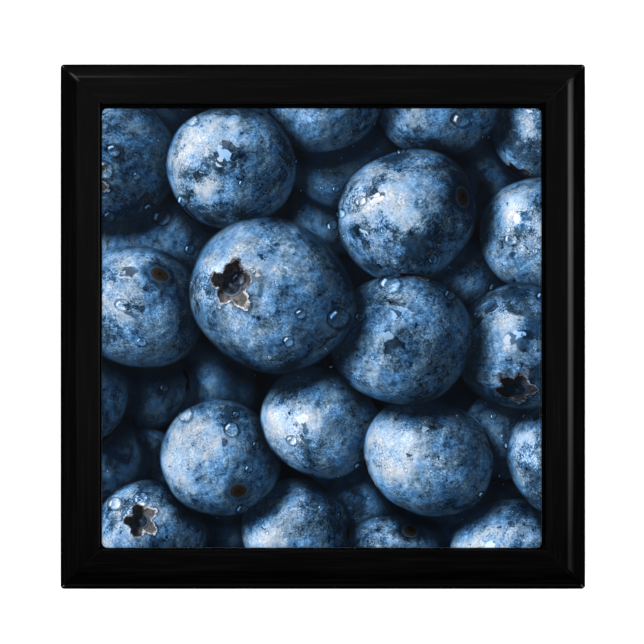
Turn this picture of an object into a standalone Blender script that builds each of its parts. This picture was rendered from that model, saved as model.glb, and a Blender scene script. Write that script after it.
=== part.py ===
"""A square keepsake gift box: a black lacquered wooden box, shut, with a picture tile let into its lid.

Run it with: blender --background --python part.py
Metres, +Z up. The origin is at the middle of the box's underside, and the picture's top edge is at +Y.
The lid is four mitred rails round a board, and the tile lies on that board between the rails.
"""

import math

import bmesh
import bpy
from mathutils import Matrix, Vector

# Driving dimensions, in metres
LID_SIDE = 0.181
BOX_HEIGHT = 0.070
LID_THICKNESS = 0.020
RAIL_WIDTH = 0.0137
ROUNDOVER = 0.0065  # the quarter-round along the lid's outer top edge
CORNER_RADIUS = 0.0012  # the eased upright corners of the lid and the body
BODY_INSET = 0.0005  # how far the body stands back from the lid on every side
BODY_EASING = 0.0010  # the rounded top and bottom edges of the body
LID_EASING = 0.0008  # the rounded lower edge of the lid
RAIL_LIP_EASING = 0.0003  # the rounded edge of the rails beside the tile
TILE_SIDE = 0.1514
TILE_THICKNESS = 0.0055
TILE_CORNER_RADIUS = 0.0020
TILE_EDGE_RADIUS = 0.0008
TILE_SET_DOWN = 0.0003  # the tile's face below the top of the rails
TILE_OFF_CENTRE = Vector((-0.0004, -0.0005, 0.0))  # the tile lies low and to the left in its recess
GAP = 0.0003  # between pieces that rest on each other

# Steps in the round edges
ROUNDOVER_STEPS = 10
EASING_STEPS = 4
CORNER_STEPS = 4
TILE_CORNER_STEPS = 6

# Worked out from those
LID_BOTTOM = BOX_HEIGHT - LID_THICKNESS
BODY_SIDE = LID_SIDE - 2 * BODY_INSET
BODY_HEIGHT = LID_BOTTOM - GAP
RECESS_SIDE = LID_SIDE - 2 * RAIL_WIDTH
TILE_TOP = BOX_HEIGHT - TILE_SET_DOWN
TILE_BOTTOM = TILE_TOP - TILE_THICKNESS
PANEL_SIDE = RECESS_SIDE - 2 * GAP
PANEL_TOP = TILE_BOTTOM - GAP

RAIL_NAMES = ("lid_rail_front", "lid_rail_right", "lid_rail_back", "lid_rail_left")


def clear_scene():
    """Removes whatever objects the file opened with."""
    for old in list(bpy.data.objects):
        bpy.data.objects.remove(old)


def finish_material(name, colour, roughness, metallic=0.0):
    """A Principled material of one colour."""
    material = bpy.data.materials.new(name)
    material.use_nodes = True
    shader = material.node_tree.nodes["Principled BSDF"]
    shader.inputs["Base Color"].default_value = (*colour, 1.0)
    shader.inputs["Roughness"].default_value = roughness
    shader.inputs["Metallic"].default_value = metallic
    material.diffuse_color = (*colour, 1.0)
    return material


def face_towards(bm, direction):
    """The flat face whose outward normal is nearest to a direction."""
    bm.normal_update()
    return max(bm.faces, key=lambda face: (round(face.normal.dot(direction), 4), face.calc_area()))


def square_block(side, corner_radius, corner_steps, low, high):
    """An upright square block with its four upright edges rounded."""
    bm = bmesh.new()
    bmesh.ops.create_cube(bm, size=1.0)
    bmesh.ops.scale(bm, vec=(side, side, high - low), verts=bm.verts)
    bmesh.ops.translate(bm, vec=(0.0, 0.0, (low + high) / 2), verts=bm.verts)
    upright = [
        edge for edge in bm.edges
        if abs(edge.verts[0].co.z - edge.verts[1].co.z) > (high - low) / 2
    ]
    bmesh.ops.bevel(
        bm,
        geom=upright,
        offset=corner_radius,
        segments=corner_steps,
        profile=0.5,
        affect="EDGES",
        material=-1,
    )
    return bm


def round_end(bm, direction, side, radius, steps):
    """Carries the top or bottom face on through a quarter-round of that radius, drawing it in step by step."""
    face = face_towards(bm, direction)
    drawn_in, risen = 0.0, 0.0
    for step in range(1, steps + 1):
        angle = math.radians(90) * step / steps
        inset = radius * (1 - math.cos(angle))
        rise = radius * math.sin(angle)
        made = bmesh.ops.extrude_face_region(bm, geom=[face])["geom"]
        bmesh.ops.delete(bm, geom=[face], context="FACES_ONLY")
        face = next(item for item in made if isinstance(item, bmesh.types.BMFace))
        share = (side - 2 * inset) / (side - 2 * drawn_in)
        bmesh.ops.scale(bm, vec=(share, share, 1.0), verts=face.verts)
        bmesh.ops.translate(bm, vec=direction * (rise - risen), verts=face.verts)
        drawn_in, risen = inset, rise


def cut_away(bm, point, normal):
    """Cuts off what lies beyond a plane and closes the cut."""
    bmesh.ops.bisect_plane(
        bm,
        geom=bm.verts[:] + bm.edges[:] + bm.faces[:],
        plane_co=point,
        plane_no=normal,
        clear_outer=True,
    )
    rim = [edge for edge in bm.edges if edge.is_boundary]
    bmesh.ops.edgeloop_fill(bm, edges=rim)


def ease_edges(bm, chosen, radius, steps):
    """Rounds the edges that a test picks out."""
    edges = [edge for edge in bm.edges if chosen(edge)]
    bmesh.ops.bevel(
        bm,
        geom=edges,
        offset=radius,
        segments=steps,
        profile=0.5,
        affect="EDGES",
        material=-1,
    )


def add_piece(name, bm, material, collection):
    """Makes one named object of a finished mesh, shaded smooth with its creases kept."""
    bmesh.ops.recalc_face_normals(bm, faces=bm.faces)
    mesh = bpy.data.meshes.new(name)
    bm.to_mesh(mesh)
    bm.free()
    mesh.materials.append(material)
    mesh.shade_smooth()
    mesh.set_sharp_from_angle(angle=math.radians(30))
    piece = bpy.data.objects.new(name, mesh)
    collection.objects.link(piece)
    return piece


def make_body(collection, lacquer):
    """The box under the lid: shut, so it is one solid block with eased edges."""
    bm = square_block(
        BODY_SIDE, CORNER_RADIUS, CORNER_STEPS, BODY_EASING, BODY_HEIGHT - BODY_EASING
    )
    for direction in (Vector((0, 0, 1)), Vector((0, 0, -1))):
        round_end(bm, direction, BODY_SIDE, BODY_EASING, EASING_STEPS)
    return add_piece("box_body", bm, lacquer, collection)


def make_front_rail():
    """The rail at -Y as a mesh: the moulded lid cut along its two mitres and beside the tile."""
    bm = square_block(
        LID_SIDE, CORNER_RADIUS, CORNER_STEPS, LID_BOTTOM + LID_EASING, BOX_HEIGHT - ROUNDOVER
    )
    round_end(bm, Vector((0, 0, 1)), LID_SIDE, ROUNDOVER, ROUNDOVER_STEPS)
    round_end(bm, Vector((0, 0, -1)), LID_SIDE, LID_EASING, EASING_STEPS)
    inner = -RECESS_SIDE / 2
    cut_away(bm, Vector((0, inner, 0)), Vector((0, 1, 0)))
    for way in (-1, 1):
        mitre_normal = Vector((way, 1, 0)).normalized()
        cut_away(bm, mitre_normal * (-GAP / 2), mitre_normal)

    def beside_tile(edge):
        return all(
            abs(vert.co.y - inner) < 1e-6 and abs(vert.co.z - BOX_HEIGHT) < 1e-6
            for vert in edge.verts
        )

    ease_edges(bm, beside_tile, RAIL_LIP_EASING, EASING_STEPS)
    return bm


def make_rails(collection, lacquer):
    """Four like rails, each a quarter turn on from the last."""
    for turn, name in enumerate(RAIL_NAMES):
        bm = make_front_rail()
        quarter = Matrix.Rotation(math.radians(90) * turn, 4, "Z")
        bmesh.ops.transform(bm, matrix=quarter, verts=bm.verts)
        add_piece(name, bm, lacquer, collection)


def make_panel(collection, board):
    """The board between the rails, which carries the tile."""
    bm = square_block(PANEL_SIDE, CORNER_RADIUS, CORNER_STEPS, LID_BOTTOM, PANEL_TOP)
    return add_piece("lid_panel", bm, board, collection)


def make_tile(collection, glazed_picture):
    """The picture tile, with rounded corners and a soft edge round its face."""
    bm = square_block(
        TILE_SIDE,
        TILE_CORNER_RADIUS,
        TILE_CORNER_STEPS,
        TILE_BOTTOM,
        TILE_TOP - TILE_EDGE_RADIUS,
    )
    round_end(bm, Vector((0, 0, 1)), TILE_SIDE, TILE_EDGE_RADIUS, EASING_STEPS)
    tile = add_piece("picture_tile", bm, glazed_picture, collection)
    tile.location = TILE_OFF_CENTRE
    return tile


def main():
    clear_scene()
    gift_box = bpy.data.collections.new("gift_box")
    bpy.context.scene.collection.children.link(gift_box)
    lacquer = finish_material("black_lacquer", (0.006, 0.006, 0.006), 0.12)
    board = finish_material("stained_board", (0.008, 0.007, 0.006), 0.60)
    glazed_picture = finish_material("glazed_picture", (0.06, 0.14, 0.27), 0.15)
    make_body(gift_box, lacquer)
    make_rails(gift_box, lacquer)
    make_panel(gift_box, board)
    make_tile(gift_box, glazed_picture)


main()
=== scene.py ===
"""Dresses the gift box in its finishes: black lacquer, and a glazed picture tile in the lid.

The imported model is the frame. The four rails, the body and the tile are modelled again with fine
mouldings where their nodes stand, and the board under the tile keeps its node and takes a finish.
The picture on the tile is a heap of blueberries in a layout of its own, painted by shader nodes.
"""

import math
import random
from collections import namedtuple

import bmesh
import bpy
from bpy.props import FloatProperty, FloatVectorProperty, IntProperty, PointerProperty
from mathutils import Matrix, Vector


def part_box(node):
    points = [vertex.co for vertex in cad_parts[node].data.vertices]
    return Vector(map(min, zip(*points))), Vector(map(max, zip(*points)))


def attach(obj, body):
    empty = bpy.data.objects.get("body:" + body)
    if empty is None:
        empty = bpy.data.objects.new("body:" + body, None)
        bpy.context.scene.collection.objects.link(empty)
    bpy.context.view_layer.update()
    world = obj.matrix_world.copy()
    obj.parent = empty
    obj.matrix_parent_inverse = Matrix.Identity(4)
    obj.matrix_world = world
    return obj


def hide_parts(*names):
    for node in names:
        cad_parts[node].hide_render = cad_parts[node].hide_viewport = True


bl_info = {
    "name": "Picture Tile Gift Box",
    "version": (1, 0, 0),
    "blender": (4, 5, 0),
    "location": "3D View > Sidebar > Gift Box",
    "description": "Models and finishes a lacquered gift box with a picture tile in its lid",
    "category": "Object",
}

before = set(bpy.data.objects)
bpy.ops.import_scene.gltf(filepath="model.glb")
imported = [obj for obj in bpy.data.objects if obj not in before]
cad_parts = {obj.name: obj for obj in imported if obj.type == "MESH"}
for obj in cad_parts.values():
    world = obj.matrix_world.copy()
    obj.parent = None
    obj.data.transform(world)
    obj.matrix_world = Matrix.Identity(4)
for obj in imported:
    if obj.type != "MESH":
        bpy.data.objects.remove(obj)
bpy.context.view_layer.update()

MM = 0.001

# Where the CAD nodes stand, in metres
FRONT_RAIL_LOW, FRONT_RAIL_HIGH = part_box("lid_rail_front")
BODY_LOW, BODY_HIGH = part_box("box_body")
TILE_LOW, TILE_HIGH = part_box("picture_tile")
LID_SIDE = -2 * FRONT_RAIL_LOW.y
RAIL_WIDTH = FRONT_RAIL_HIGH.y - FRONT_RAIL_LOW.y
LID_BOTTOM = FRONT_RAIL_LOW.z
LID_TOP = FRONT_RAIL_HIGH.z
TILE_SIDE = TILE_HIGH.x - TILE_LOW.x
TILE_MIDDLE = (TILE_LOW + TILE_HIGH) / 2

RAIL_NAMES = ("lid_rail_front", "lid_rail_right", "lid_rail_back", "lid_rail_left")
UP = Vector((0.0, 0.0, 1.0))
DOWN = Vector((0.0, 0.0, -1.0))

# Steps in the round edges
ROUNDOVER_STEPS = 28
EASING_STEPS = 8
CORNER_STEPS = 14
HAIRLINE_STEPS = 2

CREASE_ANGLE = math.radians(30)  # edges sharper than this keep their crease
TOUCHING = 1e-6  # points nearer than this to a plane lie in it
FACING = 0.999  # faces whose normal agrees with a direction by more than this face that way

# The stage, in metres, with the camera's lens and sensor in millimetres
FLOOR_REACH = 4.0
LAMP_SIDE = 1.6
LAMP_HEIGHT = 1.5
CAMERA_LENS = 400.0
CAMERA_SENSOR = 36.0
CAMERA_PLACE = (-0.3 * MM, 1.6 * MM, LID_TOP + 2.463)
CORNER_SOFTBOX = (-0.42, 0.9075, 0.0)


class GiftBoxMouldings(bpy.types.PropertyGroup):
    """The round edges of the lid, the body and the tile."""

    roundover: FloatProperty(
        name="Roundover",
        description="Radius of the quarter-round along the lid's outer top edge",
        default=6.5 * MM,
        min=1.0 * MM,
        unit="LENGTH",
    )
    corner: FloatProperty(
        name="Upright corner",
        description="Radius of the upright corners of the lid and the body",
        default=1.2 * MM,
        unit="LENGTH",
    )
    lid_edge: FloatProperty(
        name="Lid's lower edge",
        description="Radius of the rounded lower edge of the lid",
        default=0.8 * MM,
        unit="LENGTH",
    )
    lip: FloatProperty(
        name="Rail's lip",
        description="Radius of the rounded edge of the rails beside the tile",
        default=0.3 * MM,
        unit="LENGTH",
    )
    body_edge: FloatProperty(
        name="Body's edges",
        description="Radius of the rounded top and bottom edges of the body",
        default=1.0 * MM,
        unit="LENGTH",
    )
    mitre_gap: FloatProperty(
        name="Mitre gap",
        description="Width of the hairline left between two rails at a mitre",
        default=0.02 * MM,
        unit="LENGTH",
    )
    mitre_groove: FloatProperty(
        name="Mitre groove",
        description="How far the lacquer draws back on each side of a mitre",
        default=0.07 * MM,
        unit="LENGTH",
    )
    tile_corner: FloatProperty(
        name="Tile's corner",
        description="Radius of the tile's four corners",
        default=2.0 * MM,
        unit="LENGTH",
    )
    tile_edge: FloatProperty(
        name="Tile's edge",
        description="Radius of the soft edge round the tile's face",
        default=0.8 * MM,
        unit="LENGTH",
    )


class GiftBoxFinishes(bpy.types.PropertyGroup):
    """The colours of the lacquer, the board and the glaze."""

    lacquer: FloatVectorProperty(
        name="Lacquer",
        description="Colour of the black lacquer",
        default=(0.0003, 0.0003, 0.0004),
        subtype="COLOR",
    )
    lacquer_streak: FloatVectorProperty(
        name="Lacquer in the grain",
        description="Colour of the lacquer where the wood's grain shows through",
        default=(0.0019, 0.0018, 0.0018),
        subtype="COLOR",
    )
    board: FloatVectorProperty(
        name="Board",
        description="Colour of the stained board under the tile",
        default=(0.0010, 0.0009, 0.0009),
        subtype="COLOR",
    )
    # Pale bare glaze at the tile's edge, which also serves as a painted highlight line along that
    # edge
    bare_glaze_and_highlight: FloatVectorProperty(
        name="Bare glaze",
        description="Colour of the tile where the picture doesn't reach",
        default=(0.72, 0.74, 0.76),
        subtype="COLOR",
    )


class GiftBoxPicture(bpy.types.PropertyGroup):
    """The heap of blueberries in the tile's picture."""

    seed: IntProperty(
        name="Layout",
        description="Seed of the rule that lays out the berries",
        default=12,
    )
    turns: IntProperty(
        name="Turns",
        description="Seed of the rule that turns the berries about",
        default=1,
    )
    largest: FloatProperty(
        name="Largest berry",
        description="Radius of the one berry that stands out",
        default=28.5 * MM,
        unit="LENGTH",
    )
    big: FloatProperty(
        name="Big berries",
        description="Radius of the bigger berries of the heap",
        default=24.5 * MM,
        unit="LENGTH",
    )
    small: FloatProperty(
        name="Small berries",
        description="Radius of the smaller berries of the heap",
        default=17.5 * MM,
        unit="LENGTH",
    )
    exposure: FloatProperty(
        name="Exposure",
        description="How light the picture is printed",
        default=0.82,
    )


class GiftBoxStage(bpy.types.PropertyGroup):
    """The floor, the lamp and the surroundings."""

    floor: FloatVectorProperty(
        name="Floor",
        description="Colour of the pale floor",
        default=(0.86, 0.86, 0.86),
        subtype="COLOR",
    )
    floor_glow: FloatProperty(
        name="Floor's glow",
        description="Light that the floor gives of its own, as a lit table does",
        default=0.55,
    )
    lamp: FloatProperty(
        name="Lamp",
        description="Power of the large soft lamp overhead",
        default=33.0,
        subtype="POWER",
    )


class Painter:
    """Adds nodes to one tree. Each socket takes a plain value or the output that feeds it."""

    def __init__(self, tree):
        self.tree = tree

    def feed(self, node, sockets):
        """Sets or links those inputs of a node that are given."""
        for key, value in sockets.items():
            socket = node.inputs[key]
            if isinstance(value, bpy.types.NodeSocket):
                self.tree.links.new(value, socket)
            else:
                socket.default_value = value

    def add(self, kind, sockets=None, **settings):
        node = self.tree.nodes.new(kind)
        for name, value in settings.items():
            setattr(node, name, value)
        self.feed(node, sockets or {})
        return node

    def math(self, operation, *values):
        return self.add("ShaderNodeMath", dict(enumerate(values)), operation=operation).outputs[0]

    def times(self, product, *factors):
        for factor in factors:
            product = self.math("MULTIPLY", product, factor)
        return product

    def times_plus(self, value, factor, extra):
        return self.math("MULTIPLY_ADD", value, factor, extra)

    def plus(self, value, extra):
        return self.math("ADD", value, extra)

    def minus(self, value, less):
        return self.math("SUBTRACT", value, less)

    def vary(self, value, by, amount):
        """A value multiplied by 1 plus so much of another value."""
        return self.times(value, self.times_plus(by, amount, 1.0))

    def vector(self, operation, *values, result="Vector"):
        node = self.add("ShaderNodeVectorMath", dict(enumerate(values)), operation=operation)
        return node.outputs[result]

    def dot(self, first, second):
        return self.vector("DOT_PRODUCT", first, second, result="Value")

    def length(self, vector):
        return self.vector("LENGTH", vector, result="Value")

    def stretch(self, vector, amount):
        """A vector times a number."""
        sockets = {"Vector": vector, "Scale": amount}
        return self.add("ShaderNodeVectorMath", sockets, operation="SCALE").outputs[0]

    def shift(self, place, way, amount):
        """A place moved along a vector, by so many times that vector."""
        return self.vector("ADD", place, self.stretch(way, amount))

    def ramp(self, value, low, high, at_low=0.0, at_high=1.0, kind="SMOOTHSTEP"):
        """Goes from at_low to at_high while the value goes from low to high."""
        sockets = dict(enumerate((value, low, high, at_low, at_high)))
        settings = {"interpolation_type": kind, "clamp": kind == "LINEAR"}
        return self.add("ShaderNodeMapRange", sockets, **settings).outputs[0]

    def band(self, value, low, high, blur):
        """1 between low and high, and 0 outside, with soft ends."""
        rise = self.ramp(value, low - blur, low + blur)
        fall = self.ramp(value, high - blur, high + blur, 1.0, 0.0)
        return self.times(rise, fall)

    def mix(self, share, first, second, kind="FLOAT"):
        """Goes from the first value to the second as the share goes from 0 to 1."""
        at, out = {"FLOAT": (2, 0), "VECTOR": (4, 1), "RGBA": (6, 2)}[kind]
        sockets = {0: share, at: first, at + 1: second}
        return self.add("ShaderNodeMix", sockets, data_type=kind).outputs[out]

    def noise(self, place, scale, detail=2.0, roughness=0.5, distortion=0.0, result=0):
        """A noise from 0 to 1, or, as its Color, three of them in one vector."""
        sockets = {
            "Vector": place,
            "Scale": scale,
            "Detail": detail,
            "Roughness": roughness,
            "Distortion": distortion,
        }
        return self.add("ShaderNodeTexNoise", sockets).outputs[result]

    def drift(self, place, scale, detail=2.0, roughness=0.5):
        """Three noises in one vector, each from -0.5 to 0.5."""
        noises = self.noise(place, scale, detail, roughness, result="Color")
        return self.vector("SUBTRACT", noises, (0.5, 0.5, 0.5))

    def bump(self, strength, distance, height):
        sockets = {"Strength": strength, "Distance": distance, "Height": height}
        return self.add("ShaderNodeBump", sockets).outputs[0]

    def split(self, vector):
        return self.add("ShaderNodeSeparateXYZ", {0: vector}).outputs

    def join(self, x, y, z=0.0):
        return self.add("ShaderNodeCombineXYZ", {0: x, 1: y, 2: z}).outputs[0]

    def place(self, vector, rotation=(0, 0, 0), scale=(1, 1, 1)):
        """A pattern's coordinates, turned and scaled."""
        sockets = {"Vector": vector, "Rotation": rotation, "Scale": scale}
        return self.add("ShaderNodeMapping", sockets).outputs[0]

    def turn(self, vector, angles, back=False):
        sockets = {"Vector": vector, "Rotation": angles}
        settings = {"rotation_type": "EULER_XYZ", "invert": back}
        return self.add("ShaderNodeVectorRotate", sockets, **settings).outputs[0]


def new_material(name):
    """A new material, its painter, its Principled shader and its object coordinates."""
    material = bpy.data.materials.new(name)
    material.use_nodes = True
    paint = Painter(material.node_tree)
    shader = material.node_tree.nodes["Principled BSDF"]
    coordinates = paint.add("ShaderNodeTexCoord").outputs["Object"]
    return material, paint, shader, coordinates


def face_towards(bm, direction):
    """The flat face whose outward normal is nearest to a direction."""
    bm.normal_update()
    return max(bm.faces, key=lambda face: (round(face.normal.dot(direction), 4), face.calc_area()))


def ease_edges(bm, chosen, radius, steps):
    """Rounds the edges that a test picks out."""
    bmesh.ops.bevel(
        bm,
        geom=[edge for edge in bm.edges if chosen(edge)],
        offset=radius,
        segments=steps,
        profile=0.5,
        affect="EDGES",
        material=-1,
    )


def square_block(side, corner_radius, low, high):
    """An upright square block with its four upright edges rounded."""
    bm = bmesh.new()
    bmesh.ops.create_cube(bm, size=1.0)
    bmesh.ops.scale(bm, vec=(side, side, high - low), verts=bm.verts)
    bmesh.ops.translate(bm, vec=(0.0, 0.0, (low + high) / 2), verts=bm.verts)

    def upright(edge):
        return abs(edge.verts[0].co.z - edge.verts[1].co.z) > (high - low) / 2

    ease_edges(bm, upright, corner_radius, CORNER_STEPS)
    return bm


def round_end(bm, direction, side, radius, steps):
    """Carries the top or bottom face on through a quarter-round of that radius."""
    face = face_towards(bm, direction)
    drawn_in, risen = 0.0, 0.0
    for step in range(1, steps + 1):
        angle = math.radians(90) * step / steps
        inset = radius * (1 - math.cos(angle))
        rise = radius * math.sin(angle)
        made = bmesh.ops.extrude_face_region(bm, geom=[face])["geom"]
        bmesh.ops.delete(bm, geom=[face], context="FACES_ONLY")
        face = next(item for item in made if isinstance(item, bmesh.types.BMFace))
        share = (side - 2 * inset) / (side - 2 * drawn_in)
        bmesh.ops.scale(bm, vec=(share, share, 1.0), verts=face.verts)
        bmesh.ops.translate(bm, vec=direction * (rise - risen), verts=face.verts)
        drawn_in, risen = inset, rise


def cut_away(bm, point, normal):
    """Cuts off what lies beyond a plane and closes the cut."""
    bmesh.ops.bisect_plane(
        bm,
        geom=bm.verts[:] + bm.edges[:] + bm.faces[:],
        plane_co=point,
        plane_no=normal,
        clear_outer=True,
    )
    rim = [edge for edge in bm.edges if edge.is_boundary]
    bmesh.ops.edgeloop_fill(bm, edges=rim)


def add_object(name, bm, materials):
    """Makes an object of a finished mesh and puts it in the scene."""
    mesh = bpy.data.meshes.new(name)
    bm.to_mesh(mesh)
    bm.free()
    for material in materials:
        mesh.materials.append(material)
    made = bpy.data.objects.new(name, mesh)
    bpy.context.scene.collection.objects.link(made)
    return made


def finish_piece(name, bm, materials, node):
    """Makes a piece of a finished mesh, which rides on the box and stands for its CAD node."""
    bmesh.ops.recalc_face_normals(bm, faces=bm.faces)
    piece = add_object(name, bm, materials)
    piece.data.shade_smooth()
    piece.data.set_sharp_from_angle(angle=CREASE_ANGLE)
    level = piece.modifiers.new("level_flats", "WEIGHTED_NORMAL")
    level.weight = 90
    level.keep_sharp = True
    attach(piece, "root")
    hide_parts(node)
    return piece


# How close the wood's patterns are along and across its grain, in turns a metre
LACQUER_STREAKS = (34, 700, 700)
LACQUER_PORES = (150, 1500, 1500)
BOARD_FIBRES = (90, 900, 90)
GRAIN_WANDER = 1.2 * MM

GLOSS_IOR = 1.5  # of the lacquer and of the glaze


def lacquer_material(name, quarter_turns):
    """Black lacquer over wood whose grain runs along X, or along Y after one quarter turn."""
    finishes = bpy.context.scene.gift_box_finishes
    material, paint, shader, coordinates = new_material(name)
    along = paint.place(coordinates, rotation=(0, 0, math.radians(90) * quarter_turns))
    wander = paint.noise(along, 22.0, result="Color")
    bent = paint.shift(along, wander, GRAIN_WANDER)
    streaks = paint.noise(paint.place(bent, scale=LACQUER_STREAKS), 1.0, 3.0, 0.6)
    pores = paint.noise(paint.place(bent, scale=LACQUER_PORES), 1.0, 2.0, 0.6)
    even, streaked = (*finishes.lacquer, 1), (*finishes.lacquer_streak, 1)
    swirl = paint.noise(coordinates, 45.0, 3.0)
    relief = paint.times_plus(pores, 0.35, streaks)
    finish = {
        "Base Color": paint.mix(paint.ramp(streaks, 0.46, 0.72), even, streaked, "RGBA"),
        "Roughness": paint.ramp(swirl, 0.3, 0.7, 0.045, 0.085),
        "Normal": paint.bump(0.10, 0.05 * MM, relief),
        "IOR": GLOSS_IOR,
    }
    paint.feed(shader, finish)
    return material


def board_material():
    """Matt black stain on the board that shows in the gap round the tile."""
    finishes = bpy.context.scene.gift_box_finishes
    material, paint, shader, coordinates = new_material("board_stain")
    fibres = paint.noise(paint.place(coordinates, scale=BOARD_FIBRES), 1.0, 4.0, 0.65)
    dark = (*finishes.board, 1)
    light = (*[2.2 * part for part in finishes.board], 1)
    finish = {
        "Base Color": paint.mix(paint.ramp(fibres, 0.35, 0.7), dark, light, "RGBA"),
        "Roughness": paint.ramp(fibres, 0.3, 0.7, 0.55, 0.8),
        "Normal": paint.bump(0.4, 0.1 * MM, fibres),
        "Specular IOR Level": 0.1,
    }
    paint.feed(shader, finish)
    return material


# The picture on the tile

KEY_LIGHT = Vector((-0.70, 0.28, 0.66)).normalized()
KEY_ACROSS = Vector((KEY_LIGHT.x, KEY_LIGHT.y, 0.0)).normalized()
KEY_BESIDE = Vector((KEY_ACROSS.y, -KEY_ACROSS.x, 0.0))
GLOSS_AXIS = (KEY_LIGHT + UP).normalized()
RIM_LIGHT = Vector((-0.80, -0.55, 0.05)).normalized()
KEY_SHARE, ROUND_SHARE, RIM_SHARE = 0.85, 0.066, 0.12  # of the key, all round and the rim
GAP_LIGHT = 0.004  # the little light there is where no berry shows

# Printed tones by lightness, from the gaps between the berries to the whitest bloom, as sRGB
TONES = (
    (0.00, (2, 3, 5)),
    (0.12, (11, 24, 38)),
    (0.25, (35, 61, 87)),
    (0.42, (76, 113, 149)),
    (0.60, (124, 163, 203)),
    (0.78, (180, 206, 236)),
    (1.00, (240, 246, 254)),
)
PRINT_LIGHT = 1.12  # light that falls on the tile, by which the printed tones are divided
COOL_HUE, WARM_HUE = (0.72, 0.97, 1.12), (1.20, 1.03, 0.90)
FILM_COLOUR = (0.76, 0.83, 0.92)
BROWN = (1.00, 0.78, 0.58)

# The print ends a little way down the tile's rounded edge, soonest at the lower edge, then the
# left, the right and the top. The pale bare glaze it leaves there is partly real and partly a
# painted highlight along the tile's edge, widest at the lower edge
PRINT_LEAN_FOR_EDGE_HIGHLIGHT = (0.0002, 0.0010, 1.0)
PRINT_END = TILE_HIGH.z - 0.61 * MM
PRINT_END_BLUR = 0.04 * MM

# The heap's layers: how many berries each holds, and the tries at a place for a berry
NEAR_BERRIES, MIDDLE_BERRIES, DEEP_BERRIES = 24, 14, 8
NEAR_TRIES, MIDDLE_TRIES, DEEP_TRIES = 500, 60, 40
LARGEST_SPOT = (-0.017, 0.011)  # where the largest berry lies
REACH = TILE_SIDE / 2 + 12 * MM  # how far out the middle of a berry may lie
CLOSENESS = 0.90  # least distance between two near berries, as a share of their radii
COVERING = 0.9  # share of a berry's radius within which it hides what is behind
GRID_STEPS = 20  # from the tile's middle to its edge, where bare places are looked for
OUTLINE_SWAY = 6.0 * MM  # how far the berries' outlines stray from round
DENT_DEPTH = 0.9
LEANS = ((12, 45), (75, 105), (125, 155), (70, 112))  # of the crowns from upright, in degrees

# The crown and the stalk's scar, with sizes as shares of the berry's radius
CROWN_POINTS = 5.0
CROWN_RADIUS, CROWN_POINT, CROWN_TEAR = 0.085, 0.050, 0.36
PIT_RING = (0.128, 0.150)
PIT_FLOOR_EDGE = (0.145, 0.175)
SCAR_RING = (0.160, 0.190)
SCAR_GROOVES = 110.0  # how closely the grooves follow each other outwards

# Drops of water: their spacing, the share of places that hold one, and the largest radius
BIG_DROPS = (0.42, 0.24, 0.15)
SMALL_DROPS = (0.15, 0.13, 0.034)

IN_PLANE = (1.0, 1.0, 0.0)  # a vector times this keeps its x and y alone

Berry = namedtuple("Berry", "centre radius wide tall tilt pose seed exposure focus bloom")


def linear(level):
    """A level from 0 to 255 in sRGB, as linear light."""
    share = level / 255
    return share / 12.92 if share <= 0.04045 else ((share + 0.055) / 1.055) ** 2.4


def random_spot(rng):
    return Vector((rng.uniform(-REACH, REACH), rng.uniform(-REACH, REACH)))


def pack_snugly(rng, radii, laid, tries):
    """Lays discs out one by one, each in the snuggest free place found in so many tries."""
    for radius in radii:
        best = None
        for _ in range(tries):
            spot = random_spot(rng)
            rooms = [(spot - other).length - CLOSENESS * (radius + its) for other, its in laid]
            room = min(rooms, default=0.0)
            if room >= 0 and (best is None or room < best[0]):
                best = (room, spot)
        if best is not None:
            laid.append((best[1], radius))
    return laid


def fill_gaps(rng, radii, bare, tries):
    """Lays discs out one by one, each where it covers the most points that are still bare."""
    laid = []
    for radius in radii:
        spots = [random_spot(rng) for _ in range(tries)]
        hidden = COVERING * radius
        counts = [sum((point - spot).length < hidden for point in bare) for spot in spots]
        if max(counts) > 0:
            chosen = spots[counts.index(max(counts))]
            laid.append((chosen, radius))
            bare = [point for point in bare if (point - chosen).length > hidden]
    return laid, bare


def lay_out_heap():
    """The berries of the heap in three layers, from the deep ones to the near ones."""
    picture = bpy.context.scene.gift_box_picture
    small, big = picture.small, picture.big
    rng = random.Random(picture.seed)
    turns = random.Random(picture.turns)
    half = TILE_SIDE / 2
    radii = sorted((rng.uniform(small, big) for _ in range(NEAR_BERRIES)), reverse=True)
    largest = (Vector(LARGEST_SPOT), picture.largest)
    near = pack_snugly(rng, radii, [largest], NEAR_TRIES)
    near = [disc for disc in near if all(abs(part) < half + disc[1] for part in disc[0])]
    steps = [half * step / GRID_STEPS for step in range(-GRID_STEPS, GRID_STEPS + 1)]
    grid = [Vector((x, y)) for x in steps for y in steps]
    bare = [p for p in grid if all((p - spot).length > radius for spot, radius in near)]
    sizes = [rng.uniform(0.85 * small, big) for _ in range(MIDDLE_BERRIES)]
    middle, bare = fill_gaps(rng, sizes, bare, MIDDLE_TRIES)
    sizes = [rng.uniform(small, big) for _ in range(DEEP_BERRIES)]
    deep, _ = fill_gaps(rng, sizes, bare, DEEP_TRIES)

    def as_berry(disc, number, exposure, focus):
        lean = math.radians(turns.uniform(*LEANS[number % len(LEANS)]))
        return Berry(
            centre=disc[0],
            radius=disc[1],
            wide=rng.uniform(0.98, 1.06),
            tall=rng.uniform(0.92, 1.0),
            tilt=math.radians(rng.uniform(-35, 35)),
            pose=(lean, 0.0, math.radians(turns.uniform(0, 360))),
            seed=turns.uniform(0, 40),
            exposure=rng.uniform(*exposure),
            focus=rng.uniform(*focus),
            bloom=rng.uniform(-0.05, 0.05),
        )

    layers = ((deep, (0.05, 0.14), (0.0, 0.0)), (middle, (0.52, 0.88), (0.2, 0.7)))
    heap = [as_berry(disc, 1, *rest) for discs, *rest in layers for disc in discs]
    near = sorted(near, key=lambda disc: disc[1], reverse=True)
    near = [as_berry(disc, number, (0.7, 1.0), (0.85, 1.0)) for number, disc in enumerate(near)]
    return heap + near[::-1]


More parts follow.
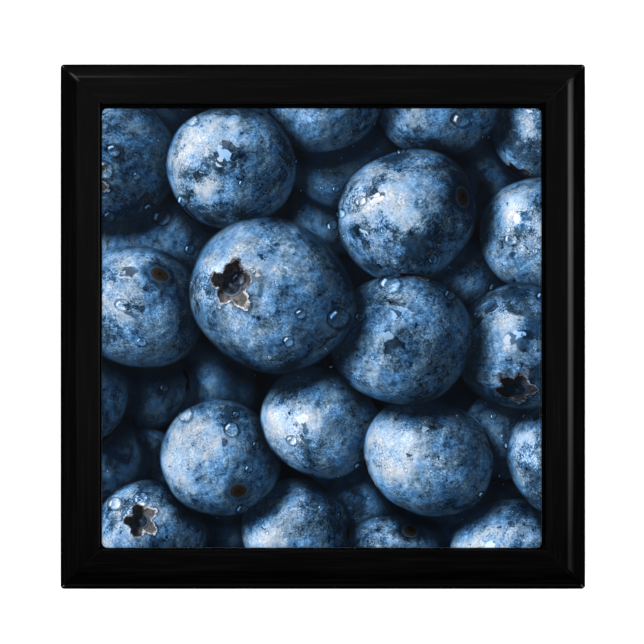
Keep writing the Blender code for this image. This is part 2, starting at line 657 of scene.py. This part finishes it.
def ball_height(paint, away):
    """How high a ball of radius 1 stands, so far away from its middle."""
    left = paint.minus(1.0, paint.times(away, away))
    return paint.math("SQRT", paint.math("MAXIMUM", left, 0.0))


def one_berry_group():
    """A node group that lays one berry over the heap painted so far.

    It carries on four things: the light on the heap, the place on the berry that shows, the
    angles that turn that berry, and its traits: its seed, its focus and the weight of its bloom.
    """
    tree = bpy.data.node_groups.new("one_berry", "ShaderNodeTree")
    carried = ("Light", "Disc", "Pose", "Traits")
    own = ("Centre", "Across", "Along", "Pose", "Traits", "Key", "Exposure", "Edge")
    inputs = (*carried, "Place", "Dents", *(f"Berry {name}" for name in own))
    for way, names in (("INPUT", inputs), ("OUTPUT", carried)):
        for name in names:
            number = name in ("Light", "Berry Exposure", "Berry Edge")
            kind = "NodeSocketFloat" if number else "NodeSocketVector"
            tree.interface.new_socket(name, in_out=way, socket_type=kind)
    paint = Painter(tree)
    given = paint.add("NodeGroupInput").outputs
    made = paint.add("NodeGroupOutput")

    # The light on a dented ball, whose outline is where the length of the disc's coordinates is 1
    from_centre = paint.vector("SUBTRACT", given["Place"], given["Berry Centre"])
    across = paint.dot(from_centre, given["Berry Across"])
    along = paint.dot(from_centre, given["Berry Along"])
    disc = paint.join(across, along)
    away = paint.length(disc)
    height = ball_height(paint, away)
    skin = paint.shift(disc, UP, height)
    skin = paint.vector("ADD", skin, given["Dents"])
    key = paint.math("MAXIMUM", paint.dot(skin, given["Berry Key"]), 0.0)
    rim = paint.math("MAXIMUM", paint.dot(skin, RIM_LIGHT), 0.0)
    lit = paint.times_plus(paint.math("POWER", key, 2.0), KEY_SHARE, ROUND_SHARE)
    lit = paint.times_plus(paint.math("POWER", rim, 4.0), RIM_SHARE, lit)
    lit = paint.times(lit, paint.ramp(height, 0.0, 0.85, 0.33, 1.0))
    lit = paint.times(lit, given["Berry Exposure"])

    # Its outline, softer out of focus, and the shade it throws on what lies behind
    cover = paint.ramp(away, 1.0, given["Berry Edge"])
    aside = paint.length(paint.vector("SUBTRACT", disc, (0.15, -0.13, 0.0)))
    shade = paint.ramp(aside, 0.97, 1.38, 0.02, 1.0)
    behind = paint.times(given["Light"], shade)
    inside = paint.math("LESS_THAN", away, 1.0)
    results = {
        "Light": paint.mix(cover, behind, lit),
        "Disc": paint.mix(inside, given["Disc"], disc, "VECTOR"),
        "Pose": paint.mix(inside, given["Pose"], given["Berry Pose"], "VECTOR"),
        "Traits": paint.mix(inside, given["Traits"], given["Berry Traits"], "VECTOR"),
    }
    paint.feed(made, results)
    return tree


def lay_berries(paint, place, dents, berries):
    """The light on the heap, and which place of which berry shows, as the last carried values.

    Nothing in the group is clamped or turned from a vector into a point or a colour, because such
    steps wait in the render until the sums of all the berries are done, and it can't hold so many.
    """
    group = one_berry_group()
    carried = {"Light": GAP_LIGHT, "Disc": (2, 0, 0), "Pose": (0, 0, 0), "Traits": (0, 0, 0)}
    for berry in berries:
        key = KEY_LIGHT.copy()
        key.rotate(Matrix.Rotation(-berry.tilt, 3, "Z"))
        turned = Matrix.Rotation(berry.tilt, 2)
        sockets = {
            **carried,
            "Place": place,
            "Dents": dents,
            "Berry Centre": (*berry.centre, 0.0),
            "Berry Across": (*turned.col[0] / (berry.radius * berry.wide), 0.0),
            "Berry Along": (*turned.col[1] / (berry.radius * berry.tall), 0.0),
            "Berry Pose": berry.pose,
            "Berry Traits": (berry.seed, berry.focus, berry.bloom),
            "Berry Key": key,
            "Berry Exposure": berry.exposure,
            "Berry Edge": 0.80 + 0.17 * berry.focus,
        }
        node = paint.add("ShaderNodeGroup", sockets, node_tree=group)
        carried = {name: node.outputs[name] for name in carried}
    return carried


def wrinkle_height(paint, site):
    """How high the skin stands at a place: broad lumps, and creases like shallow valleys."""
    lumps = paint.noise(site, 5.0, 4.0, 0.62)
    creases = paint.noise(site, 2.4)
    creases = paint.math("ABSOLUTE", paint.minus(creases, 0.5))
    return paint.times_plus(creases, 1.1, lumps)


def paint_skin(paint, carried, surface, site, height):
    """How much light the skin sends back, and where a film of bloom lies over its colour.

    The bloom is pale, rubbed away in dark patches and speckled, and the skin is wrinkled, folded,
    nicked and in places wet.
    """
    _, focus, bloom = paint.split(carried["Traits"])
    sharp = paint.times(focus, paint.ramp(height, 0.08, 0.60, 0.15, 1.0))
    large = paint.noise(site, 1.45, 3.0, 0.55)
    mottle = paint.minus(paint.noise(site, 6.5, 3.0, 0.6), 0.5)
    fine = paint.minus(paint.noise(site, 30.0, 2.0, 0.90), 0.5)
    fine = paint.times(fine, sharp)
    cover = paint.times_plus(mottle, 0.36, large)
    cover = paint.times_plus(fine, 0.46, cover)
    cover = paint.plus(cover, bloom)
    bloomed = paint.ramp(cover, 0.35, 0.49, 0.14, 0.52)
    bloomed = paint.plus(bloomed, paint.ramp(cover, 0.44, 0.70, 0.0, 0.48))
    speckled = paint.ramp(paint.noise(site, 3.1), 0.38, 0.62, 1.2, 4.8)
    grain = paint.math("POWER", 2.1, paint.times(fine, speckled))
    grain = paint.vary(grain, mottle, 0.6)

    # Wrinkles, lightest where they slope towards the light
    towards_key = paint.turn(KEY_ACROSS, carried["Pose"], back=True)
    nearer = paint.shift(site, towards_key, 0.045)
    slope = paint.minus(wrinkle_height(paint, site), wrinkle_height(paint, nearer))
    grain = paint.vary(grain, paint.times(slope, sharp), 4.0)

    # Folds that run round some of the berries, about their crowns
    rings = paint.vector("MULTIPLY", site, (2.4, 2.4, 17.0))
    folds = paint.minus(paint.noise(rings, 1.0, 2.0, 0.5, 0.6), 0.5)
    folded = paint.ramp(paint.noise(site, 1.1, 1.0), 0.50, 0.66, 0.0, 1.6)
    folded = paint.times(folded, paint.ramp(height, 0.95, 0.5))
    skin = paint.times(bloomed, paint.vary(grain, folds, folded))

    # Where the light is strongest, the bloom shines as an even, pale film
    film = paint.ramp(cover, 0.36, 0.56)
    film = paint.times(film, paint.ramp(carried["Light"], 0.24, 0.66))
    film_tone = paint.times_plus(paint.minus(large, 0.5), 0.8, 0.95)
    film_tone = paint.times_plus(fine, paint.times(speckled, 0.5), film_tone)
    film_tone = paint.times_plus(mottle, 0.4, film_tone)
    skin = paint.mix(paint.times(film, 0.70), skin, film_tone)

    # Nicks, small and nearly black
    nicks = paint.times(paint.ramp(mottle, -0.165, -0.180), sharp)
    skin = paint.vary(skin, nicks, -0.8)

    # Wet places, where the bloom is dark and a window shines back as clear-cut patches
    wet = paint.times(paint.ramp(paint.noise(site, 2.1), 0.615, 0.630), sharp)
    wavy = paint.shift(surface, (0.5, 0.3, 0.0), mottle)
    facing = paint.dot(wavy, GLOSS_AXIS)
    wet = paint.times(wet, paint.ramp(facing, 0.80, 0.90))
    bar = paint.band(paint.dot(wavy, KEY_BESIDE), -0.03, 0.04, 0.012)
    shine = paint.ramp(facing, 0.940, 0.952)
    shine = paint.times(shine, paint.times_plus(bar, -1.2, 1.3))
    wet_tone = paint.times_plus(skin, 0.18, shine)
    return paint.mix(wet, skin, wet_tone), film


def paint_crown(paint, skin, own, site, pose, seed):
    """The crown of torn skin round its pit, laid over the skin, and where it is brown."""
    x, y, z = paint.split(own)
    flat = paint.join(x, y)
    out = paint.length(flat)
    top_side = paint.ramp(z, 0.05, 0.25)
    torn = paint.noise(site, 4.6, 4.0, 0.62)
    ragged = paint.noise(site, 17.0, 3.0, 0.6)
    points = paint.times_plus(paint.math("ARCTAN2", y, x), CROWN_POINTS, seed)
    star = paint.times_plus(paint.math("COSINE", points), CROWN_POINT, CROWN_RADIUS)
    star = paint.times_plus(torn, CROWN_TEAR, star)
    reach = paint.math("DIVIDE", out, star)
    outward = paint.turn(paint.vector("NORMALIZE", flat), pose)
    lean = paint.dot(outward, KEY_ACROSS)
    far_side = paint.ramp(lean, 0.35, -0.7)

    # The slope up to the crown, and the shade that its rim throws
    slope = paint.times(paint.band(reach, 1.05, 1.45, 0.16), lean)
    skin = paint.vary(skin, slope, 0.45)
    shade = paint.times(paint.band(reach, 1.04, 1.20, 0.07), far_side, top_side)
    skin = paint.vary(skin, shade, -0.7)

    # The pit: a round floor with a raised ring, and the wall between the ring and the rim
    wall = paint.ramp(far_side, 0.0, 1.0, 0.02, 0.30)
    wall = paint.times(wall, paint.ramp(ragged, 0.3, 0.7, 0.4, 1.6))
    floor = paint.ramp(far_side, 0.0, 1.0, 0.012, 0.070)
    floor = paint.times(floor, paint.ramp(ragged, 0.35, 0.65, 0.4, 1.5))
    floor = paint.times_plus(paint.ramp(out, 0.034, 0.012), 0.10, floor)
    ring = paint.band(out, *PIT_RING, 0.012)
    ring = paint.times(ring, paint.ramp(far_side, 0.0, 1.0, 0.01, 0.24))
    floor = paint.plus(floor, ring)
    pit_tone = paint.mix(paint.ramp(out, *PIT_FLOOR_EDGE), floor, wall)
    pit = paint.times(paint.ramp(reach, 1.0, 0.95), top_side)
    skin = paint.mix(pit, skin, pit_tone)

    # The papery rim, palest where it faces the light
    thickness = paint.ramp(ragged, 0.35, 0.65, 1.02, 1.10)
    rim = paint.ramp(paint.minus(reach, thickness), 0.03, -0.02)
    rim = paint.times(paint.ramp(reach, 0.93, 0.97), rim, top_side)
    rim_tone = paint.ramp(far_side, 0.0, 1.0, 0.30, 1.6)
    rim_tone = paint.times(rim_tone, paint.ramp(ragged, 0.35, 0.6, 0.35, 1.1))
    skin = paint.mix(rim, skin, rim_tone)
    brown = paint.times(paint.ramp(reach, 1.20, 0.90, 0.0, 0.85), top_side)
    brown = paint.times(brown, paint.ramp(out, 0.13, 0.17, 0.25, 1.0))
    return skin, brown


def paint_scar(paint, skin, own, site):
    """The stalk's round scar, opposite the crown, laid over the skin, and where it is."""
    x, y, z = paint.split(own)
    rough = paint.noise(site, 9.0, 3.0, 0.6)
    out = paint.times_plus(rough, 0.05, paint.length(paint.join(x, y)))
    under_side = paint.ramp(z, -0.05, -0.25)
    hollow = paint.times(paint.ramp(out, 0.38, 0.19), under_side)
    skin = paint.times(skin, paint.ramp(hollow, 0.0, 1.0, 1.0, 0.30))
    ring = paint.times(paint.band(out, *SCAR_RING, 0.022), under_side)
    skin = paint.mix(ring, skin, 0.34)
    scar = paint.times(paint.ramp(out, 0.170, 0.145), under_side)
    grooves = paint.math("SINE", paint.times(out, SCAR_GROOVES))
    scar_tone = paint.times_plus(grooves, 0.025, paint.ramp(out, 0.02, 0.14, 0.05, 0.12))
    return paint.mix(scar, skin, scar_tone), scar


def paint_drops(paint, light, disc, seed, spacing, share, size):
    """Drops of water on the berries, laid over the light that the berries send back."""
    spot = paint.stretch(disc, 1 / spacing)
    spot = paint.shift(spot, (7.3, 4.1, 0.0), seed)
    spot = paint.shift(spot, paint.drift(spot, 3.0, 1.0), 0.10)
    cells = paint.add(
        "ShaderNodeTexVoronoi",
        {"Vector": spot, "Scale": 1.0, "Randomness": 0.8},
        voronoi_dimensions="2D",
    ).outputs
    luck, grade, _ = paint.split(cells["Color"])
    grade = paint.times(grade, grade)
    largest = size / spacing
    radius = paint.ramp(grade, 0.0, 1.0, 0.30 * largest, largest, kind="LINEAR")
    present = paint.math("LESS_THAN", luck, share)
    inner = paint.vector("SUBTRACT", spot, cells["Position"])
    inner = paint.stretch(inner, paint.math("DIVIDE", 1.0, radius))
    inner = paint.vector("MULTIPLY", inner, IN_PLANE)
    away = paint.length(inner)
    towards = paint.dot(inner, KEY_ACROSS)
    beside = paint.dot(inner, KEY_BESIDE)
    inside = paint.times(paint.ramp(away, 1.0, 0.92), present)

    # The light that a drop gathers on its far side, its dark edge and its curved glint
    gathered = paint.ramp(towards, 0.5, -0.8, 0.55, 1.9)
    edge = paint.ramp(away, 0.72, 0.98, 1.0, 0.18)
    through = paint.times(light, gathered, edge)
    glint_across = paint.times_plus(paint.times(beside, beside), 0.6, towards)
    glint = paint.band(glint_across, 0.38, 0.62, 0.07)
    glint = paint.times(glint, paint.band(beside, -0.42, 0.30, 0.08))
    glint = paint.times(glint, paint.ramp(light, 0.0, 0.10, 0.06, 0.80))
    through = paint.plus(through, glint)

    # The shade that it throws
    shade_away = paint.length(paint.vector("ADD", inner, 0.30 * KEY_ACROSS))
    shade = paint.times(paint.ramp(shade_away, 1.15, 0.85, 0.0, 0.6), present)
    shaded = paint.times(light, paint.minus(1.0, shade))
    return paint.mix(inside, shaded, through)


def paint_picture(paint, coordinates):
    """The printed colour of the picture at each place on the tile."""
    picture = bpy.context.scene.gift_box_picture
    place = paint.vector("SUBTRACT", coordinates, (TILE_MIDDLE.x, TILE_MIDDLE.y, 0.0))
    place = paint.vector("MULTIPLY", place, IN_PLANE)
    sway = paint.drift(place, 27.0, 2.0, 0.35)
    bent = paint.shift(place, sway, OUTLINE_SWAY)
    bent = paint.vector("MULTIPLY", bent, IN_PLANE)
    dents = paint.stretch(paint.drift(place, 62.0, 2.0, 0.55), DENT_DEPTH)
    carried = lay_berries(paint, bent, dents, lay_out_heap())
    seed, _, _ = paint.split(carried["Traits"])
    disc = carried["Disc"]
    height = ball_height(paint, paint.length(disc))
    surface = paint.shift(disc, UP, height)
    own = paint.turn(surface, carried["Pose"], back=True)
    site = paint.shift(own, (1.9, 3.1, 2.3), seed)
    skin, film = paint_skin(paint, carried, surface, site, height)
    skin, rust = paint_crown(paint, skin, own, site, carried["Pose"], seed)
    skin, scar = paint_scar(paint, skin, own, site)
    light = paint.times(carried["Light"], skin)
    light = paint_drops(paint, light, disc, seed, *BIG_DROPS)
    light = paint_drops(paint, light, disc, paint.plus(seed, 3.7), *SMALL_DROPS)
    light = paint.times(light, picture.exposure)
    level = paint.math("POWER", paint.math("MAXIMUM", light, 0.0), 1 / 2.2)
    tones = paint.add("ShaderNodeValToRGB", {"Fac": level})
    stops = tones.color_ramp.elements
    while len(stops) < len(TONES):
        stops.new(0.5)
    for stop, (position, levels) in zip(stops, TONES):
        stop.position = position
        stop.color = (*[linear(level) / PRINT_LIGHT for level in levels], 1)
    hue = paint.ramp(paint.noise(site, 3.4, 3.0, 0.6), 0.36, 0.64)
    hue = paint.mix(hue, COOL_HUE, WARM_HUE, "VECTOR")
    tinted = paint.vector("MULTIPLY", tones.outputs[0], hue)
    pale = paint.stretch(FILM_COLOUR, light)
    colour = paint.mix(paint.times(film, 0.40), tinted, pale, "RGBA")
    brown = paint.math("MAXIMUM", paint.times(rust, 0.8), scar)
    return paint.mix(brown, colour, paint.stretch(BROWN, light), "RGBA")


def picture_tile_material():
    """Glazed ceramic with the picture under its glaze, and bare glaze at its very edge, which is
    also a painted highlight along that edge, widest at the lower edge.
    """
    finishes = bpy.context.scene.gift_box_finishes
    material, paint, shader, coordinates = new_material("picture_glaze")
    printed = paint_picture(paint, coordinates)
    height = paint.dot(coordinates, PRINT_LEAN_FOR_EDGE_HIGHLIGHT)
    # Where the print gives way to pale bare glaze: partly real glaze, partly a painted highlight
    # line along the tile's edge, widest at the lower edge
    on_face_inside_highlight = paint.ramp(height, PRINT_END, PRINT_END + PRINT_END_BLUR)
    waves = paint.noise(coordinates, 60.0)
    finish = {
        "Base Color": paint.mix(on_face_inside_highlight, (*finishes.bare_glaze_and_highlight, 1), printed, "RGBA"),
        "Roughness": paint.ramp(waves, 0.3, 0.7, 0.08, 0.13),
        "Normal": paint.bump(0.08, 0.2 * MM, waves),
        "IOR": GLOSS_IOR,
        "Specular IOR Level": 0.3,
    }
    paint.feed(shader, finish)
    return material


def rail_mesh(mouldings):
    """The rail at -Y: the moulded lid cut along its two mitres and beside the tile."""
    low, high = LID_BOTTOM + mouldings.lid_edge, LID_TOP - mouldings.roundover
    bm = square_block(LID_SIDE, mouldings.corner, low, high)
    round_end(bm, UP, LID_SIDE, mouldings.roundover, ROUNDOVER_STEPS)
    round_end(bm, DOWN, LID_SIDE, mouldings.lid_edge, EASING_STEPS)
    inner = RAIL_WIDTH - LID_SIDE / 2
    cut_away(bm, Vector((0, inner, 0)), Vector((0, 1, 0)))

    def beside_tile(edge):
        return all(
            abs(vert.co.y - inner) < TOUCHING and abs(vert.co.z - LID_TOP) < TOUCHING
            for vert in edge.verts
        )

    mitres = [Vector((way, 1, 0)).normalized() for way in (-1, 1)]
    for mitre in mitres:
        cut_away(bm, mitre * (-mouldings.mitre_gap / 2), mitre)
    ease_edges(bm, beside_tile, mouldings.lip, EASING_STEPS)
    for mitre in mitres:
        bm.normal_update()

        def round_the_mitre(edge):
            faces = edge.link_faces
            ends = [face for face in faces if face.normal.dot(mitre) > FACING]
            return len(ends) == 1 and len(faces) == 2

        ease_edges(bm, round_the_mitre, mouldings.mitre_groove, HAIRLINE_STEPS)
    return bm


def lay_bake_map(bm, corner):
    """A map for baking the tile's finish: the tile's face nearly fills it, with its sides folded
    out.
    """
    bm.normal_update()
    bake = bm.loops.layers.uv.new("OFBake")
    unfolded_side = TILE_SIDE + 2 * (TILE_HIGH.z - TILE_LOW.z)
    straight = TILE_SIDE / 2 - corner
    shown_share, shown_from = 0.94, Vector((0.005, 0.005))
    hidden_share, hidden_middle = 0.04, Vector((0.975, 0.975))
    for face in bm.faces:
        for loop in face.loops:
            x, y, z = loop.vert.co
            if face.normal.z < -0.5:
                spot = Vector((-x, y)) * (hidden_share / TILE_SIDE) + hidden_middle
            else:
                core = [max(-straight, min(part, straight)) for part in (x, y)]
                outward = (Vector((x, y)) - Vector(core)).normalized()
                spot = (Vector((x, y)) + outward * (TILE_HIGH.z - z)) / unfolded_side
                spot = (spot + Vector((0.5, 0.5))) * shown_share + shown_from
            loop[bake].uv = spot


def paint_surroundings(scene):
    """Paints what the gloss mirrors: a room with softboxes, which the camera sees as white."""
    world = bpy.data.worlds.new("studio")
    world.use_nodes = True
    scene.world = world
    paint = Painter(world.node_tree)
    x, y, z = paint.split(paint.add("ShaderNodeTexCoord").outputs["Generated"])
    level = paint.vector("NORMALIZE", paint.join(x, y))
    level_x, level_y, _ = paint.split(level)

    # Where a ray meets a level ceiling: how far to the right, and how far to the back
    above = paint.math("MAXIMUM", z, 0.05)
    u = paint.math("DIVIDE", x, above)
    v = paint.math("DIVIDE", y, above)

    # The ceiling straight above, dimmer towards the front and palest towards the far left
    light = paint.times(
        paint.ramp(z, 0.92, 1.0, 0.0, 0.092),
        paint.ramp(v, -0.038, -0.016, 0.19, 1.0),
        paint.ramp(v, -0.30, -0.06, 0.5, 1.0),
        paint.ramp(u, -0.034, 0.034, 1.19, 0.91, kind="LINEAR"),
        paint.ramp(paint.minus(v, u), 0.030, 0.068, 1.0, 1.25),
    )

    # The walls of the room, dark in front and palest behind
    walls = paint.times_plus(level_x, -0.15, paint.ramp(level_y, -1.0, 0.0, 0.16, 0.85))
    walls = paint.plus(walls, paint.ramp(level_y, 0.0, 1.0, 0.0, 1.85))
    walls = paint.times(walls, paint.ramp(z, -0.8, 0.6, 0.006, 0.045))
    walls = paint.times(walls, paint.ramp(z, 0.99, 0.90))
    light = paint.plus(light, walls)

    # A tall softbox on the right, brightest at its inner edge and just behind the middle
    strip = paint.times(
        paint.ramp(u, 0.03, 0.34),
        paint.band(v, -0.30, 0.30, 0.05),
        paint.ramp(u, 0.38, 1.05, 1.68, 0.0, kind="LINEAR"),
        paint.ramp(v, -0.038, -0.012, kind="LINEAR"),
        paint.ramp(v, 0.0, 0.018, 0.9, 1.5),
        paint.ramp(v, 0.025, 0.045, 1.0, 0.35),
    )
    light = paint.times_plus(strip, paint.ramp(z, 0.0, 0.1), light)

    # A thin softbox at the back, left of the middle
    line = paint.band(v, 0.67, 0.95, 0.07)
    line = paint.times(line, paint.band(u, -0.16, -0.037, 0.004))
    light = paint.times_plus(line, 0.72, light)

    # A tall softbox at the back, towards the left corner
    corner = paint.times(
        paint.ramp(paint.dot(level, CORNER_SOFTBOX), 0.88, 0.965),
        paint.ramp(z, 0.50, 0.64),
        paint.ramp(u, -0.045, -0.11),
        paint.ramp(z, 1.002, 0.93, 0.0, 1.25, kind="LINEAR"),
    )
    light = paint.plus(light, corner)

    # Dim fills in the four corners, which give the upright sides their sheen
    crossing = paint.math("ABSOLUTE", paint.times(level_x, level_y))
    fill = paint.ramp(crossing, 0.12, 0.40)
    fill = paint.times(fill, paint.band(z, -0.60, -0.20, 0.10))
    light = paint.times_plus(fill, 0.10, light)

    # A low glow all round, strongest in front
    glow = paint.band(z, -0.40, -0.07, 0.05)
    glow = paint.times(glow, paint.ramp(level_y, -0.9, -0.4, 1.0, 0.25))
    light = paint.times_plus(glow, 0.055, light)

    seen = paint.add("ShaderNodeLightPath").outputs["Is Camera Ray"]
    strength = paint.mix(seen, light, 1.0)
    background = world.node_tree.nodes["Background"]
    paint.feed(background, {"Color": (1, 1, 1, 1), "Strength": strength})


class GIFTBOX_OT_set_stage(bpy.types.Operator):
    """Sets the pale floor, the soft lamp, the surroundings and the camera above the box"""

    bl_idname = "gift_box.set_stage"
    bl_label = "Set the Stage"

    def execute(self, context):
        self.lay_floor(context)
        self.hang_lamp(context)
        paint_surroundings(context.scene)
        self.place_camera(context)
        context.scene.view_settings.view_transform = "Standard"
        return {"FINISHED"}

    def lay_floor(self, context):
        stage = context.scene.gift_box_stage
        bm = bmesh.new()
        bmesh.ops.create_grid(bm, x_segments=1, y_segments=1, size=FLOOR_REACH)
        material, paint, shader, coordinates = new_material("pale_floor")
        paper = paint.ramp(paint.noise(coordinates, 300.0, 3.0), 0.3, 0.7)
        dimmer = (*[0.98 * part for part in stage.floor], 1)
        finish = {
            "Base Color": paint.mix(paper, dimmer, (*stage.floor, 1), "RGBA"),
            "Roughness": 0.9,
            "Emission Color": (1, 1, 1, 1),
            "Emission Strength": stage.floor_glow,
        }
        paint.feed(shader, finish)
        floor = add_object("floor", bm, [material])
        floor.visible_glossy = False

    def hang_lamp(self, context):
        light = bpy.data.lights.new("overhead_lamp", "AREA")
        light.shape = "SQUARE"
        light.size = LAMP_SIDE
        light.energy = context.scene.gift_box_stage.lamp
        lamp = bpy.data.objects.new("overhead_lamp", light)
        lamp.location = (0.0, 0.0, LAMP_HEIGHT)
        lamp.visible_camera = False
        lamp.visible_glossy = False
        context.scene.collection.objects.link(lamp)

    def place_camera(self, context):
        data = bpy.data.cameras.new("camera")
        data.lens = CAMERA_LENS
        data.sensor_width = CAMERA_SENSOR
        camera = bpy.data.objects.new("camera", data)
        camera.location = CAMERA_PLACE
        context.scene.collection.objects.link(camera)
        context.scene.camera = camera


class GIFTBOX_OT_make_rails(bpy.types.Operator):
    """Models the four mitred rails of the lid"""

    bl_idname = "gift_box.make_rails"
    bl_label = "Make the Rails"

    def execute(self, context):
        mouldings = context.scene.gift_box_mouldings
        lacquers = [lacquer_material("lacquer_along", 0), lacquer_material("lacquer_across", 1)]
        for turns, node in enumerate(RAIL_NAMES):
            bm = rail_mesh(mouldings)
            quarter = Matrix.Rotation(math.radians(90) * turns, 4, "Z")
            bmesh.ops.transform(bm, matrix=quarter, verts=bm.verts)
            name = node.replace("lid_rail", "moulded_rail")
            finish_piece(name, bm, [lacquers[turns % 2]], node)
        return {"FINISHED"}


class GIFTBOX_OT_make_body(bpy.types.Operator):
    """Models the shut box under the lid"""

    bl_idname = "gift_box.make_body"
    bl_label = "Make the Body"

    def execute(self, context):
        mouldings = context.scene.gift_box_mouldings
        side = BODY_HIGH.x - BODY_LOW.x
        easing = mouldings.body_edge
        low, high = BODY_LOW.z + easing, BODY_HIGH.z - easing
        bm = square_block(side, mouldings.corner, low, high)
        for direction in (UP, DOWN):
            round_end(bm, direction, side, easing, EASING_STEPS)
        bm.normal_update()
        for face in bm.faces:
            face.material_index = int(abs(face.normal.x) > abs(face.normal.y))
        lacquers = [bpy.data.materials["lacquer_along"], bpy.data.materials["lacquer_across"]]
        finish_piece("lacquered_body", bm, lacquers, "box_body")
        return {"FINISHED"}


class GIFTBOX_OT_make_tile(bpy.types.Operator):
    """Models the picture tile and paints its picture"""

    bl_idname = "gift_box.make_tile"
    bl_label = "Make the Picture Tile"

    def execute(self, context):
        mouldings = context.scene.gift_box_mouldings
        high = TILE_HIGH.z - mouldings.tile_edge
        bm = square_block(TILE_SIDE, mouldings.tile_corner, TILE_LOW.z, high)
        round_end(bm, UP, TILE_SIDE, mouldings.tile_edge, EASING_STEPS)
        lay_bake_map(bm, mouldings.tile_corner)
        bmesh.ops.translate(bm, vec=(TILE_MIDDLE.x, TILE_MIDDLE.y, 0.0), verts=bm.verts)
        glaze = picture_tile_material()
        finish_piece("glazed_tile", bm, [glaze], "picture_tile")
        return {"FINISHED"}


class GIFTBOX_OT_stain_board(bpy.types.Operator):
    """Stains the board that carries the tile"""

    bl_idname = "gift_box.stain_board"
    bl_label = "Stain the Board"

    def execute(self, context):
        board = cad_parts["lid_panel"]
        board.data.materials.clear()
        board.data.materials.append(board_material())
        return {"FINISHED"}


STEPS = (
    GIFTBOX_OT_set_stage,
    GIFTBOX_OT_make_rails,
    GIFTBOX_OT_make_body,
    GIFTBOX_OT_make_tile,
    GIFTBOX_OT_stain_board,
)
GROUPS = {
    "gift_box_mouldings": GiftBoxMouldings,
    "gift_box_finishes": GiftBoxFinishes,
    "gift_box_picture": GiftBoxPicture,
    "gift_box_stage": GiftBoxStage,
}


class GIFTBOX_PT_panel(bpy.types.Panel):
    """Lists the steps that make the gift box, and the sizes and colours they use"""

    bl_idname = "GIFTBOX_PT_panel"
    bl_label = "Gift Box"
    bl_space_type = "VIEW_3D"
    bl_region_type = "UI"
    bl_category = "Gift Box"

    def draw(self, context):
        for step in STEPS:
            self.layout.operator(step.bl_idname)
        for name, group in GROUPS.items():
            box = self.layout.box()
            for setting in group.__annotations__:
                box.prop(getattr(context.scene, name), setting)


def register():
    for group in GROUPS.values():
        bpy.utils.register_class(group)
    for name, group in GROUPS.items():
        setattr(bpy.types.Scene, name, PointerProperty(type=group))
    for step in STEPS:
        bpy.utils.register_class(step)
    bpy.utils.register_class(GIFTBOX_PT_panel)


def unregister():
    bpy.utils.unregister_class(GIFTBOX_PT_panel)
    for step in reversed(STEPS):
        bpy.utils.unregister_class(step)
    for name, group in reversed(GROUPS.items()):
        delattr(bpy.types.Scene, name)
        bpy.utils.unregister_class(group)


def main():
    register()
    bpy.ops.gift_box.set_stage()
    bpy.ops.gift_box.make_rails()
    bpy.ops.gift_box.make_body()
    bpy.ops.gift_box.make_tile()
    bpy.ops.gift_box.stain_board()


if __name__ == "__main__":
    main()
